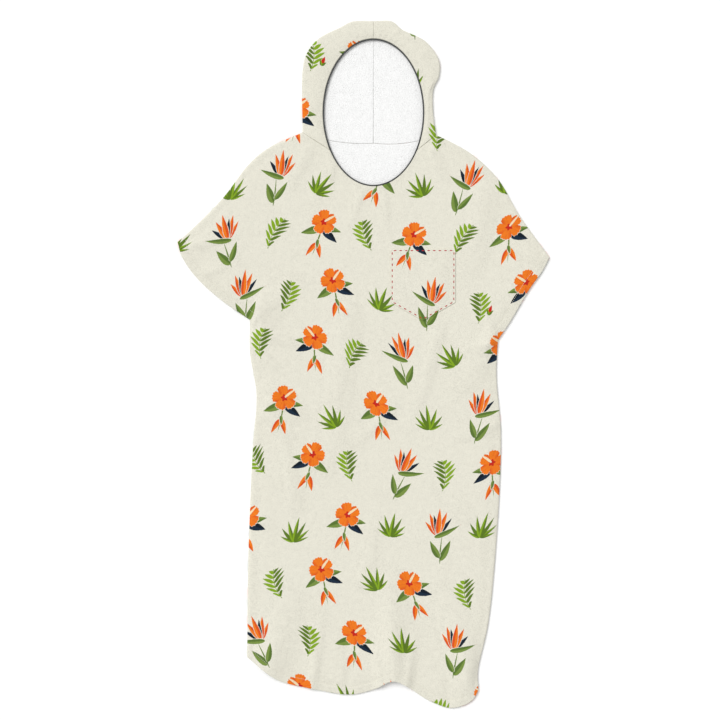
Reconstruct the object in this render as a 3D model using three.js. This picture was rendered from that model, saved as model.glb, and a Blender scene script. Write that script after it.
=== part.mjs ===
// A hooded bath poncho in towelling, laid flat on its back: two body panels with the sleeves cut in one
// with them, a hood of two halves folded round its sides, a patch pocket and a bound face opening.
// Units are millimetres. +Z is up, +Y points from the hem to the hood, and left and right are as seen
// from above with the hood at the top. The origin is on the garment's centre line, on the surface it
// lies on, halfway between the crown of the hood and the hem.
import * as THREE from "three";

// Driving sizes
const clothThickness = 2.6;
const seamGap = 0.4; // between pieces that are sewn together
const layerGap = 0.35; // between the back and the front where they are sewn edge to edge
const restingLoft = 1.8; // how far the front lies off the back away from its edges
const foldRadius = 2.4; // of the hood's folded sides, at the middle of the cloth

const faceOpening = { centreY: 505, halfWidth: 100, halfHeight: 146, seamAngle: 30.5 };
const binding = { width: 3, height: 4.4, gap: 0.45, steps: 60 };
const pocketSize = {
  centreX: 99, topY: 232, halfWidth: 65, sideHeight: 107, footDrop: 37, thickness: 1.8, lift: 0.4,
};
const neckBack = { seamY: 444, bow: 7, seamTopY: 640 };

// How finely each stretch is divided
const steps = {
  shoulder: 10, neckSeam: 2, neckArc: 22, cuff: 7, side: 22, hem: 30,
  hood: 20, hoodFront: 4, hoodFold: 5, hoodBack: 6,
  pocketAcross: 12, pocketDown: 9,
};

// The outline, edge by edge. x is across the garment and y is along it, both from the origin.
const leftShoulder = [
  { x: -392, y: 246 }, { x: -367, y: 268 }, { x: -303, y: 332 }, { x: -247, y: 404 }, { x: -207, y: 436 },
  { x: -142, y: 465 },
];
const rightShoulder = [
  { x: 125, y: 460 }, { x: 151, y: 448 }, { x: 199, y: 420 }, { x: 249, y: 372 }, { x: 293, y: 298 },
  { x: 352, y: 216 },
];
const leftCuff = [
  { x: -392, y: 246 }, { x: -383, y: 216 }, { x: -355, y: 176 }, { x: -307, y: 132 }, { x: -247, y: 90 },
];
const rightCuff = [
  { x: 352, y: 216 }, { x: 339, y: 190 }, { x: 311, y: 150 }, { x: 273, y: 86 }, { x: 249, y: 50 },
];
const leftSide = [
  { x: -247, y: 90 }, { x: -247, y: 25 }, { x: -234, y: -60 }, { x: -241, y: -160 }, { x: -250, y: -370 },
  { x: -253, y: -584 },
];
const rightSide = [
  { x: 249, y: 50 }, { x: 246, y: -20 }, { x: 255, y: -140 }, { x: 246, y: -350 }, { x: 229, y: -520 },
  { x: 209, y: -612 }, { x: 210, y: -650 },
];
const hem = [
  { x: -253, y: -584 }, { x: -191, y: -630 }, { x: -120, y: -648 }, { x: -47, y: -659 }, { x: 0, y: -649 },
  { x: 41, y: -632 }, { x: 113, y: -672 }, { x: 157, y: -686 }, { x: 196, y: -672 }, { x: 210, y: -650 },
];
const hoodOutlineLeft = [
  { x: -142, y: 465 }, { x: -142, y: 586 }, { x: -135, y: 620 }, { x: -112, y: 651 }, { x: -65, y: 676 },
  { x: -42, y: 687 }, { x: 0, y: 688 },
];
const hoodOutlineRight = [
  { x: 125, y: 460 }, { x: 119, y: 510 }, { x: 120, y: 553 }, { x: 131, y: 577 }, { x: 131, y: 610 },
  { x: 103, y: 648 }, { x: 57, y: 671 }, { x: 37, y: 687 }, { x: 0, y: 688 },
];

// Soft folds of the front, from where each starts to where it dies away. Width is to where the fold
// has lost two thirds of its height.
const frontFolds = [
  { fromX: 41, fromY: -640, toX: 26, toY: -350, width: 26, height: 11 }, // up from the dip in the hem
  { fromX: -214, fromY: -618, toX: -150, toY: -400, width: 30, height: 7 }, // left corner of the hem
  { fromX: 196, fromY: -620, toX: 120, toY: -400, width: 28, height: 8 }, // right corner of the hem
  { fromX: -236, fromY: -58, toX: -95, toY: -120, width: 22, height: 4 }, // waist, left
  { fromX: -240, fromY: 84, toX: -120, toY: 210, width: 24, height: 5 }, // left underarm
  { fromX: 240, fromY: 48, toX: 150, toY: -80, width: 24, height: 5 }, // right underarm
  { fromX: -60, fromY: 60, toX: -105, toY: -330, width: 26, height: 4 }, // body, left
  { fromX: 215, fromY: 330, toX: 190, toY: 120, width: 26, height: 4 }, // right shoulder
];

// A smooth curve through the rows of a table.
function edgeCurve(rows) {
  return new THREE.CatmullRomCurve3(rows.map((row) => new THREE.Vector3(row.x, row.y, 0)));
}

const hoodLeft = { side: -1, outline: edgeCurve(hoodOutlineLeft) };
const hoodRight = { side: 1, outline: edgeCurve(hoodOutlineRight) };

// Points at equal spacing along a curve, both ends included.
function pointsAlong(curve, count) {
  return curve.getSpacedPoints(count);
}

// A point of the face opening's edge, which lies past the binding. The angle is in degrees from +X.
function openingPoint(angle) {
  const turn = THREE.MathUtils.degToRad(angle);
  const past = binding.width / 2 + binding.gap;
  return new THREE.Vector3(
    (faceOpening.halfWidth + past) * Math.cos(turn),
    faceOpening.centreY + (faceOpening.halfHeight + past) * Math.sin(turn),
    0,
  );
}

// A closed solid between two grids of points that have the same rows and columns.
function solidBetween(upper, lower) {
  const rows = upper.length;
  const columns = upper[0].length;
  const lowerStart = rows * columns;
  const positions = [...upper.flat(), ...lower.flat()].flatMap((point) => [point.x, point.y, point.z]);
  const indices = [];
  const quad = (a, b, c, d) => indices.push(a, b, c, a, c, d);
  for (let row = 0; row < rows - 1; row += 1) {
    for (let column = 0; column < columns - 1; column += 1) {
      const near = row * columns + column;
      const far = near + columns;
      quad(near, far, far + 1, near + 1);
      quad(lowerStart + near, lowerStart + near + 1, lowerStart + far + 1, lowerStart + far);
    }
  }
  const rim = rimOf(rows, columns);
  rim.forEach((corner, place) => {
    const next = rim[(place + 1) % rim.length];
    quad(corner, next, lowerStart + next, lowerStart + corner);
  });
  return closedGeometry(positions, indices);
}

// The places of a grid's outer points, in order round it.
function rimOf(rows, columns) {
  const rim = [];
  for (let column = 0; column < columns - 1; column += 1) rim.push(column);
  for (let row = 0; row < rows - 1; row += 1) rim.push(row * columns + columns - 1);
  for (let column = columns - 1; column > 0; column -= 1) rim.push((rows - 1) * columns + column);
  for (let row = rows - 1; row > 0; row -= 1) rim.push(row * columns);
  return rim;
}

function closedGeometry(positions, indices) {
  const geometry = new THREE.BufferGeometry();
  geometry.setAttribute("position", new THREE.Float32BufferAttribute(positions, 3));
  geometry.setIndex(indices);
  geometry.computeVertexNormals();
  return geometry;
}

// Turns the faces of a geometry round, for a grid that runs the other way.
function turnedRound(geometry) {
  const index = geometry.getIndex();
  for (let face = 0; face < index.count; face += 3) {
    const second = index.getX(face + 1);
    index.setX(face + 1, index.getX(face + 2));
    index.setX(face + 2, second);
  }
  geometry.computeVertexNormals();
  return geometry;
}

// The four sides that a body panel is stretched between: shoulders with the neckline, hem, and both ends.
function bodySides(neckline) {
  const top = [
    ...pointsAlong(edgeCurve(leftShoulder), steps.shoulder).slice(0, -1),
    ...neckline,
    ...pointsAlong(edgeCurve(rightShoulder), steps.shoulder).slice(1),
  ];
  const side = (cuff, seam) => [
    ...pointsAlong(edgeCurve(cuff), steps.cuff),
    ...pointsAlong(edgeCurve(seam), steps.side).slice(1),
  ];
  return { top, left: side(leftCuff, leftSide), right: side(rightCuff, rightSide) };
}

// The front neckline: down the seam to the hood, round the foot of the face opening and up again.
function frontNeckline() {
  const left = hoodStation(hoodLeft, 0);
  const right = hoodStation(hoodRight, 0);
  const seam = (from, to) => (
    pointsAlong(new THREE.LineCurve3(belowSeam(from), belowSeam(to)), steps.neckSeam));
  const { seamAngle } = faceOpening;
  const arc = [];
  for (let step = 1; step < steps.neckArc; step += 1) {
    arc.push(openingPoint(180 + seamAngle + (step / steps.neckArc) * (180 - 2 * seamAngle)));
  }
  return [...seam(left.edge, left.opening), ...arc, ...seam(right.opening, right.edge)];
}

// The back neckline, a shallow curve under the back of the hood.
function backNeckline() {
  const half = (hood) => {
    const { edge, turn } = hoodStation(hood, 0);
    const line = [belowSeam(edge)];
    for (let step = 0; step <= steps.hoodBack; step += 1) {
      line.push(belowSeam(hoodBackPoint(turn, 0, neckBack.seamY, step / steps.hoodBack, neckBack.bow)));
    }
    return line;
  };
  return [...half(hoodLeft), ...half(hoodRight).reverse().slice(1)];
}

// A body panel's side of a seam to the hood.
function belowSeam(point) {
  return new THREE.Vector3(point.x, point.y - seamGap, 0);
}

// The panel's points in plan, as rows from the shoulders to the hem and columns from left to right.
// Each row blends the shape of the shoulders into that of the hem, and keeps to both ends.
function panelPlan(neckline) {
  const { top, left, right } = bodySides(neckline);
  const columns = top.length - 1;
  const rows = left.length - 1;
  const across = shares(top);
  const down = shares(left);
  const hemCurve = edgeCurve(hem);
  const bottom = across.map((share) => hemCurve.getPointAt(share));
  const plan = [];
  for (let row = 0; row <= rows; row += 1) {
    const line = [];
    for (let column = 0; column <= columns; column += 1) {
      const u = across[column];
      const v = down[row];
      const point = new THREE.Vector3()
        .addScaledVector(top[column], 1 - v).addScaledVector(bottom[column], v)
        .addScaledVector(left[row], 1 - u).addScaledVector(right[row], u)
        .addScaledVector(top[0], -(1 - u) * (1 - v)).addScaledVector(top[columns], -u * (1 - v))
        .addScaledVector(bottom[0], -(1 - u) * v).addScaledVector(bottom[columns], -u * v);
      line.push(point);
    }
    plan.push(line);
  }
  return plan;
}

// How far along a line each of its points is, from 0 to 1.
function shares(line) {
  const lengths = [0];
  for (let place = 1; place < line.length; place += 1) {
    lengths.push(lengths.at(-1) + line[place].distanceTo(line[place - 1]));
  }
  return lengths.map((length) => length / lengths.at(-1));
}

// How much the folds lift the front at a point in plan.
function foldLift(x, y) {
  let lift = 0;
  for (const fold of frontFolds) {
    const alongX = fold.toX - fold.fromX;
    const alongY = fold.toY - fold.fromY;
    const length = Math.hypot(alongX, alongY);
    const along = ((x - fold.fromX) * alongX + (y - fold.fromY) * alongY) / length ** 2;
    const aside = ((x - fold.fromX) * alongY - (y - fold.fromY) * alongX) / length;
    const fade = 1 - THREE.MathUtils.smoothstep(along, 0, 1);
    const start = THREE.MathUtils.smoothstep(along, -0.25, 0);
    lift += fold.height * fade * start * Math.exp(-((aside / fold.width) ** 2));
  }
  return lift;
}

// Height of the middle of the front cloth. It comes down to the back at the seams and open edges, and
// keeps its height at the neck, where the hood holds it up. Columns from neckFrom to neckTo are the neck.
const frontEdgeHeight = clothThickness + layerGap + clothThickness / 2;
const hoodFrontHeight = clothThickness / 2 + 2 * foldRadius;
const frontTopHeight = frontEdgeHeight + restingLoft;

function frontHeights(plan) {
  const rows = plan.length - 1;
  const columns = plan[0].length - 1;
  const edgeWidth = 36;
  const neckFrom = steps.shoulder;
  const neckTo = columns - steps.shoulder;
  return plan.map((line, row) => line.map((point, column) => {
    const fromSide = Math.min(point.distanceTo(line[0]), point.distanceTo(line[columns]));
    const fromTop = point.distanceTo(plan[0][column]);
    const fromHem = point.distanceTo(plan[rows][column]);
    const atNeck = column >= neckFrom && column <= neckTo;
    const overNeck = atNeck ? 1 - THREE.MathUtils.smoothstep(fromTop, 0, 2 * edgeWidth) : 0;
    const seamFade = THREE.MathUtils.smoothstep(fromSide, 0, edgeWidth)
      * (atNeck ? 1 : THREE.MathUtils.smoothstep(fromTop, 0, edgeWidth));
    const hemFade = THREE.MathUtils.smoothstep(fromHem, 0, edgeWidth);
    const resting = frontEdgeHeight + restingLoft * seamFade * hemFade;
    const height = resting + (hoodFrontHeight - resting) * overNeck;
    return height + foldLift(point.x, point.y) * seamFade;
  }));
}

function frontPanel() {
  const plan = panelPlan(frontNeckline());
  const heights = frontHeights(plan);
  const surface = (side) => plan.map((line, row) => line.map((point, column) => (
    new THREE.Vector3(point.x, point.y, heights[row][column] + (side * clothThickness) / 2))));
  return solidBetween(surface(1), surface(-1));
}

// The back lies flat, so it is its outline with a thickness.
function backPanel() {
  const { top, left, right } = bodySides(backNeckline());
  const bottom = pointsAlong(edgeCurve(hem), steps.hem);
  const outline = [
    ...top, ...right.slice(1), ...bottom.reverse().slice(1), ...left.reverse().slice(1, -1),
  ];
  const shape = new THREE.Shape(outline.map((point) => new THREE.Vector2(point.x, point.y)));
  return new THREE.ExtrudeGeometry(shape, { depth: clothThickness, bevelEnabled: false });
}

// The hood at a share of the way from the neck to the crown: its edge at the face opening, its outline,
// the way that the fold faces, and the middle of the fold.
function hoodStation({ side, outline }, share) {
  const degrees = THREE.MathUtils.lerp(-faceOpening.seamAngle, 90, share);
  const opening = openingPoint(side > 0 ? degrees : 180 - degrees);
  const edge = outline.getPointAt(share);
  const tangent = outline.getTangentAt(share);
  const outward = new THREE.Vector3(side * tangent.y, -side * tangent.x, 0);
  if (share === 0) outward.copy(edge).sub(opening).normalize();
  if (share === 1) {
    outward.set(0, 1, 0);
    opening.x = (side * seamGap) / 2;
    edge.x = opening.x;
  }
  const turn = edge.clone().addScaledVector(outward, -(foldRadius + clothThickness / 2));
  return { opening, edge, outward, turn };
}

// A point of the hood's back layer, a share of the way from the fold to the centre seam.
function hoodBackPoint(turn, seamX, seamY, share, bow) {
  return new THREE.Vector3(
    THREE.MathUtils.lerp(turn.x, seamX, share),
    THREE.MathUtils.lerp(turn.y, seamY, share) - bow * 4 * share * (1 - share),
    0,
  );
}

// A hood half is a row of sections from the neck to the crown. Each starts at the face opening, crosses
// the front of the hood, turns round the fold at the outline and comes back under it to the centre seam.
function hoodHalf(hood) {
  const outer = [];
  const inner = [];
  for (let step = 0; step <= steps.hood; step += 1) {
    const section = hoodSection(hood, step / steps.hood);
    outer.push(section.outer);
    inner.push(section.inner);
  }
  const geometry = solidBetween(outer, inner);
  return hood.side > 0 ? turnedRound(geometry) : geometry;
}

function hoodSection(hood, share) {
  const { opening, outward, turn } = hoodStation(hood, share);
  const outer = [];
  const inner = [];
  const half = clothThickness / 2;
  const place = (point, height, aside) => new THREE.Vector3(point.x, point.y, height + aside);
  for (let step = 0; step <= steps.hoodFront; step += 1) {
    const point = opening.clone().lerp(turn, step / steps.hoodFront);
    outer.push(place(point, hoodFrontHeight, half));
    inner.push(place(point, hoodFrontHeight, -half));
  }
  for (let step = 1; step < steps.hoodFold; step += 1) {
    const angle = (Math.PI * step) / steps.hoodFold;
    const ring = (radius) => turn.clone().addScaledVector(outward, radius * Math.sin(angle))
      .setZ(half + foldRadius + radius * Math.cos(angle));
    outer.push(ring(foldRadius + half));
    inner.push(ring(foldRadius - half));
  }
  const seamX = (hood.side * seamGap) / 2;
  const seamY = THREE.MathUtils.lerp(neckBack.seamY, neckBack.seamTopY, share);
  const bow = neckBack.bow * (1 - share) ** 2;
  for (let step = 0; step <= steps.hoodBack; step += 1) {
    const point = hoodBackPoint(turn, seamX, seamY, step / steps.hoodBack, bow);
    outer.push(place(point, half, -half));
    inner.push(place(point, half, half));
  }
  return { outer, inner };
}

// The pocket lies on the front, made from the front's own heights moved out.
function pocket() {
  const { centreX, topY, halfWidth, sideHeight, footDrop, thickness, lift } = pocketSize;
  const upper = [];
  const lower = [];
  for (let down = 0; down <= steps.pocketDown; down += 1) {
    const upperRow = [];
    const lowerRow = [];
    for (let across = 0; across <= steps.pocketAcross; across += 1) {
      const share = (2 * across) / steps.pocketAcross - 1;
      const height = sideHeight + footDrop * (1 - Math.abs(share));
      const x = centreX + share * halfWidth;
      const y = topY - (height * down) / steps.pocketDown;
      const seat = frontTopHeight + foldLift(x, y) + clothThickness / 2 + lift;
      upperRow.push(new THREE.Vector3(x, y, seat + thickness));
      lowerRow.push(new THREE.Vector3(x, y, seat));
    }
    upper.push(upperRow);
    lower.push(lowerRow);
  }
  return solidBetween(upper, lower);
}

// The binding is one closed ring of a rounded section round the face opening.
function faceBinding() {
  const section = [
    { out: -0.5, up: -0.25 }, { out: -0.5, up: 0.25 }, { out: -0.25, up: 0.5 },
    { out: 0.25, up: 0.5 }, { out: 0.5, up: 0.25 }, { out: 0.5, up: -0.25 },
    { out: 0.25, up: -0.5 }, { out: -0.25, up: -0.5 },
  ];
  const positions = [];
  const indices = [];
  const count = section.length;
  for (let step = 0; step < binding.steps; step += 1) {
    const turn = (2 * Math.PI * step) / binding.steps;
    for (const corner of section) {
      positions.push(
        (faceOpening.halfWidth + corner.out * binding.width) * Math.cos(turn),
        faceOpening.centreY + (faceOpening.halfHeight + corner.out * binding.width) * Math.sin(turn),
        hoodFrontHeight + corner.up * binding.height,
      );
    }
    const next = (step + 1) % binding.steps;
    for (let corner = 0; corner < count; corner += 1) {
      const after = (corner + 1) % count;
      const a = step * count + corner;
      const b = step * count + after;
      const c = next * count + after;
      const d = next * count + corner;
      indices.push(a, b, c, a, c, d);
    }
  }
  return closedGeometry(positions, indices);
}

const printedCloth = new THREE.MeshStandardMaterial({ color: 0xe9e6d7, roughness: 0.95, metalness: 0 });
const bindingCloth = new THREE.MeshStandardMaterial({ color: 0x4b4d4b, roughness: 0.9, metalness: 0 });

const poncho = new THREE.Group();

function addPiece(name, geometry, material) {
  const mesh = new THREE.Mesh(geometry, material);
  mesh.name = name;
  poncho.add(mesh);
}

addPiece("back_panel", backPanel(), printedCloth);
addPiece("front_panel", frontPanel(), printedCloth);
addPiece("hood_half_left", hoodHalf(hoodLeft), printedCloth);
addPiece("hood_half_right", hoodHalf(hoodRight), printedCloth);
addPiece("pocket", pocket(), printedCloth);
addPiece("face_binding", faceBinding(), bindingCloth);

export default poncho;
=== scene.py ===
import math

import bpy
import numpy as np
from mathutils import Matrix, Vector
from mathutils.bvhtree import BVHTree


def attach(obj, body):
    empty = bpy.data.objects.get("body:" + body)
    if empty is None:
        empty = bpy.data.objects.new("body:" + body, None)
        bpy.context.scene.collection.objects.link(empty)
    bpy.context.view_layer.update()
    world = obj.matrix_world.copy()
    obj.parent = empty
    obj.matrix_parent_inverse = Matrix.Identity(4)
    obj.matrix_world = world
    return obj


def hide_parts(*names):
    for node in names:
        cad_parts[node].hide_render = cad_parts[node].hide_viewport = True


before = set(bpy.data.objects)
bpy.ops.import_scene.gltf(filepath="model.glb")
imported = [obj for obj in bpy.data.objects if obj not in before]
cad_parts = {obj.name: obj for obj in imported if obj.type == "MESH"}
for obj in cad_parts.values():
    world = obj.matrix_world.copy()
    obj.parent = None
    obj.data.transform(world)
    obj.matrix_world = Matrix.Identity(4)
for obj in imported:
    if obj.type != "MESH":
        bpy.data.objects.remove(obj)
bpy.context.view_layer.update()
print("frame loaded, nodes:", ", ".join(sorted(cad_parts)))

mm = 0.001  # sizes below are in millimetres until a mesh is made
far = 1e3  # further than any edge matters


# the cut, shared by all the cloth

cut = {  # each edge as (across, along) from the middle of the poncho, the hood end is +
    "leftShoulder": [(-392, 246), (-367, 268), (-303, 332), (-247, 404), (-207, 436), (-142, 465)],
    "rightShoulder": [(125, 460), (151, 448), (199, 420), (249, 372), (293, 298), (352, 216)],
    "leftCuff": [(-392, 246), (-383, 216), (-355, 176), (-307, 132), (-247, 90)],
    "rightCuff": [(352, 216), (339, 190), (311, 150), (273, 86), (249, 50)],
    "leftSide": [(-247, 90), (-247, 25), (-234, -60), (-241, -160), (-250, -370), (-253, -584)],
    "rightSide": [(249, 50), (246, -20), (255, -140), (246, -350), (229, -520), (209, -612), (210, -650)],
    "hem": [(-253, -584), (-191, -630), (-120, -648), (-47, -659), (0, -649), (41, -632), (113, -672),
            (157, -686), (196, -672), (210, -650)],
    "hoodLeft": [(-142, 465), (-142, 586), (-135, 620), (-112, 651), (-65, 676), (-42, 687), (0, 688)],
    "hoodRight": [(125, 460), (119, 510), (120, 553), (131, 577), (131, 610), (103, 648), (57, 671),
                  (37, 687), (0, 688)],
}
cloth = {
    "thickness": 2.6,
    "thinnest": 0.15,  # where two rounded edges meet
    "seamGap": 0.16,  # from one half of the hood to the other, and to the front
    "backSeamGap": 0.4,  # from the hood to the back
    "layerGap": 0.35,  # from the back to the front, along their edges
    "loft": 1.8,  # how much further the front lies off the back, away from its edges
    "foldRadius": 2.4,  # of the hood's folded sides
    "hemWidth": 16.0,  # from the edge to the stitches
    "hemThicker": 0.5,
    "stitchGroove": (0.55, 1.7),  # depth and width
}
face = {
    "middle": 505,
    "halfWidth": 100,
    "halfHeight": 146,
    "seamAngle": 30.5,  # degrees below level, where the hood is sewn to the front
    "tapeWidth": 2.6,
    "tapeGap": 0.2,  # from the tape to the cloth
}
halfCloth = cloth["thickness"] / 2
frontEdgeHeight = cloth["thickness"] + cloth["layerGap"] + halfCloth
hoodFrontHeight = halfCloth + 2 * cloth["foldRadius"]


def smoothLine(points, perStretch=40):
    # a smooth line through the points, slow where they crowd, as in the solids
    points = np.array(points, float)
    ends = [2 * points[0] - points[1], *points, 2 * points[-1] - points[-2]]
    line = []
    share = np.linspace(0, 1, perStretch, endpoint=False)[:, None]
    for p0, p1, p2, p3 in zip(ends, ends[1:], ends[2:], ends[3:]):
        d0, d1, d2 = (np.sqrt(np.linalg.norm(b - a)) for a, b in ((p0, p1), (p1, p2), (p2, p3)))
        leave = ((p1 - p0) / d0 - (p2 - p0) / (d0 + d1) + (p2 - p1) / d1) * d1
        arrive = ((p2 - p1) / d1 - (p3 - p1) / (d1 + d2) + (p3 - p2) / d2) * d1
        line.append(p1 + leave * share + (3 * (p2 - p1) - 2 * leave - arrive) * share ** 2
                    + (2 * (p1 - p2) + leave + arrive) * share ** 3)
    return np.vstack([*line, points[-1]])


def lengthsAlong(line):
    return np.concatenate([[0], np.cumsum(np.linalg.norm(np.diff(line, axis=0), axis=1))])


def placeAlong(line, shares):
    # points at these shares of the line's length
    lengths = lengthsAlong(line)
    wanted = np.asarray(shares) * lengths[-1]
    return np.stack([np.interp(wanted, lengths, line[:, k]) for k in (0, 1)], axis=-1)


def ease(x, low, high):
    share = np.clip((x - low) / (high - low), 0, 1)
    return share * share * (3 - 2 * share)


def roundOff(distance, radius):
    # 1 at an edge, falling to 0 at the radius, on a quarter circle
    inward = np.clip(distance / radius, 0, 1)
    return 1 - np.sqrt(np.maximum(0, 1 - (1 - inward) ** 2))


def roundedEdges(distances, edges):
    # what the rounding of the edges takes off: edges has the (depth, width) of each
    rounded = [depth * roundOff(distances[name], width) for name, (depth, width) in edges.items()]
    return np.maximum.reduce(rounded)


def ridge(distance, height, middle, width):
    return height * np.exp(-(((distance - middle) / width) ** 2))


def openingPoint(degrees):
    # where the cloth ends at the face opening, just outside the tape
    turn = np.radians(degrees)
    past = face["tapeWidth"] / 2 + face["tapeGap"]
    return np.stack([(face["halfWidth"] + past) * np.cos(turn),
                     face["middle"] + (face["halfHeight"] + past) * np.sin(turn)], axis=-1)


def stretches(breaks, counts, fineEnds):
    # even steps between the breaks, with extra ones at the distances in fineEnds from both ends
    leastStep = 0.0004
    places = [np.linspace(a, b, n, endpoint=False) for a, b, n in zip(breaks, breaks[1:], counts)]
    extra = np.concatenate([fineEnds, 1 - fineEnds])
    places = np.unique(np.round(np.concatenate([*places, [breaks[-1]], extra]), 7))
    wanted = set(np.round([*breaks, *extra], 7))
    keep = [places[0]]
    for place in places[1:]:
        if place - keep[-1] >= leastStep or place in wanted:
            keep.append(place)
    return np.array(keep)


# folds and creases: from, to, width, height

folds = [  # the large ones, as in the solids
    ((41, -640), (26, -350), 26, 11),  # up from the dip in the hem
    ((-214, -618), (-150, -400), 30, 7),
    ((196, -620), (120, -400), 28, 8),
    ((-236, -58), (-95, -120), 22, 4),  # waist
    ((-240, 84), (-120, 210), 24, 5),  # underarms
    ((240, 48), (150, -80), 24, 5),
    ((-60, 60), (-105, -330), 26, 4),
    ((215, 330), (190, 120), 26, 4),
]
creases = [  # small soft ones, a few of them troughs
    ((-240, 62), (-130, 36), 9, 3.6),  # left underarm
    ((-238, 76), (-160, 140), 9, -1.6),
    ((-242, 84), (-200, 190), 9, 3.2),
    ((-240, 44), (-166, -34), 9, 3.0),
    ((244, 42), (140, 20), 8, 4.0),  # right underarm
    ((243, 34), (176, -24), 9, -1.6),
    ((248, 56), (190, 140), 8, 3.2),
    ((-232, -40), (-140, -66), 8, 3.2),  # sides
    ((-236, -86), (-110, -176), 10, 3.4),
    ((-246, -300), (-166, -336), 9, 2.6),
    ((250, -120), (136, -160), 9, 3.4),
    ((248, -330), (164, -296), 9, 3.0),
    ((-22, 356), (-58, 240), 9, 2.6),  # under the face opening
    ((16, 356), (36, 226), 9, 2.4),
    ((-84, 390), (-130, 290), 9, 2.2),
    ((-124, 446), (-184, 320), 11, 3.2),  # shoulders
    ((112, 446), (154, 344), 10, 3.0),
    ((-372, 236), (-236, 266), 10, 3.0),  # sleeves
    ((-340, 180), (-252, 222), 9, 2.4),
    ((336, 206), (232, 262), 10, 3.0),
    ((296, 130), (226, 206), 9, 2.2),
    ((66, -640), (90, -500), 9, 4.0),  # up from the hem
    ((14, -640), (-8, -500), 9, 3.6),
    ((-124, -646), (-98, -440), 11, 4.0),
    ((152, -684), (142, -560), 10, -2.0),
    ((-44, -656), (-66, -490), 11, -1.8),
    ((124, 44), (60, -190), 14, 2.8),  # long and low, across the body
    ((-160, -260), (-204, -40), 14, 2.6),
    ((184, -300), (84, -220), 13, 2.8),
    ((30, -90), (-66, -190), 13, 2.2),
    ((-20, -420), (30, -250), 15, 2.0),
]
relief = {
    "foldRunIn": 0.25,  # how far before its start a fold begins to rise, as a share of its length
    "uneven": (0.22, 0.154),  # broad and fine
    "seamPucker": (0.4, 8, 6),  # height, how far in from the edge, and how wide
    "hemPucker": (0.2, 9, 6),
    "tapeGathers": (0.35, 7, 5),
    "gathersRound": 46,  # all round the face opening
}


def foldLift(x, y, rows):
    lift = np.zeros(np.shape(x))
    for (fromX, fromY), (toX, toY), width, height in rows:
        alongX, alongY = toX - fromX, toY - fromY
        length = math.hypot(alongX, alongY)
        along = ((x - fromX) * alongX + (y - fromY) * alongY) / length ** 2
        aside = ((x - fromX) * alongY - (y - fromY) * alongX) / length
        dying = (1 - ease(along, 0, 1)) * ease(along, -relief["foldRunIn"], 0)
        lift += ridge(aside, height, 0, width) * dying
    return lift


def unevenness(x, y):
    # the slow unevenness of towelling that was smoothed out by hand, from waves that cross
    broad, fine = relief["uneven"]
    return (broad * np.sin(x / 31 + 1.3 * np.sin(y / 67)) * np.sin(y / 43 + 0.6)
            + fine * np.sin(x / 17 + y / 29) * np.sin(y / 19 - x / 47))


def pucker(x, y, fromSeam, fromHem):
    # small gathers that sewing leaves beside the seams and on the turned hems
    alongSeam = 1 + np.sin((x + y) / 5.5 + 2 * np.sin(y / 37))
    alongHem = 1 + np.sin(x / 3.7 + y / 5.1 + 2 * np.sin(x / 29))
    besideSeam = ridge(fromSeam, *relief["seamPucker"]) * alongSeam
    return besideSeam + ridge(fromHem, *relief["hemPucker"]) * alongHem


def tapeGathers(x, y, fromTape):
    # the tape draws the cloth in a little all round the face opening
    angle = np.arctan2((y - face["middle"]) / face["halfHeight"], x / face["halfWidth"])
    alongTape = 1 + np.sin(relief["gathersRound"] * angle + 3 * np.sin(5 * angle))
    return ridge(fromTape, *relief["tapeGathers"]) * alongTape


# meshes

def addObject(name, data):
    added = bpy.data.objects.new(name, data)
    bpy.context.scene.collection.objects.link(added)
    return added


def meshFrom(name, vertices, faces, kinds, places, materials):
    # vertices in mm, kinds is each face's material, places is each vertex's place on the printed cloth
    mesh = bpy.data.meshes.new(name)
    mesh.from_pydata((np.asarray(vertices) * mm).tolist(), [], faces)
    for material in materials:
        mesh.materials.append(material)
    mesh.polygons.foreach_set("material_index", kinds)
    mesh.polygons.foreach_set("use_smooth", [True] * len(faces))
    if places is not None:
        corners = np.empty(len(mesh.loops), int)
        mesh.loops.foreach_get("vertex_index", corners)
        layer = mesh.uv_layers.new(name="printPlace")
        layer.data.foreach_set("uv", (np.asarray(places)[corners] * mm).ravel())
    mesh.validate()
    mesh.update()
    piece = addObject(name, mesh)
    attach(piece, "root")
    return piece


def clothShell(name, node, outer, inner, places, flip=False, turned=None):
    # a closed shell between two grids of points, for one of the frame's nodes
    # outer is printed, inner is plain but where a hem is turned in
    rows, columns = outer.shape[:2]
    spots = np.arange(rows * columns).reshape(rows, columns)
    quads = [spots[:-1, :-1], spots[1:, :-1], spots[1:, 1:], spots[:-1, 1:]]
    outerFaces = np.stack(quads, axis=-1).reshape(-1, 4)
    innerFaces = outerFaces[:, ::-1] + rows * columns
    rim = np.concatenate([spots[0, :-1], spots[:-1, -1], spots[-1, :0:-1], spots[:0:-1, 0]])
    after = np.roll(rim, -1)
    rimFaces = np.stack([rim, after, after + rows * columns, rim + rows * columns], axis=-1)
    faces = np.concatenate([outerFaces, innerFaces, rimFaces])
    if flip:
        faces = faces[:, ::-1]
    innerKinds = np.ones(len(innerFaces), int)
    if turned is not None:
        innerKinds[turned[1:, 1:].ravel()] = 0
    kinds = [0] * len(outerFaces) + innerKinds.tolist() + [0] * len(rimFaces)
    vertices = np.concatenate([outer.reshape(-1, 3), inner.reshape(-1, 3)])
    places = np.tile(places.reshape(-1, 2), (2, 1))
    piece = meshFrom(name, vertices, faces.tolist(), kinds, places, [printedCloth, insideCloth])
    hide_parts(node)
    return piece


def withHeight(plan, height):
    return np.concatenate([plan, height[..., None]], axis=-1)


# materials

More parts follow.
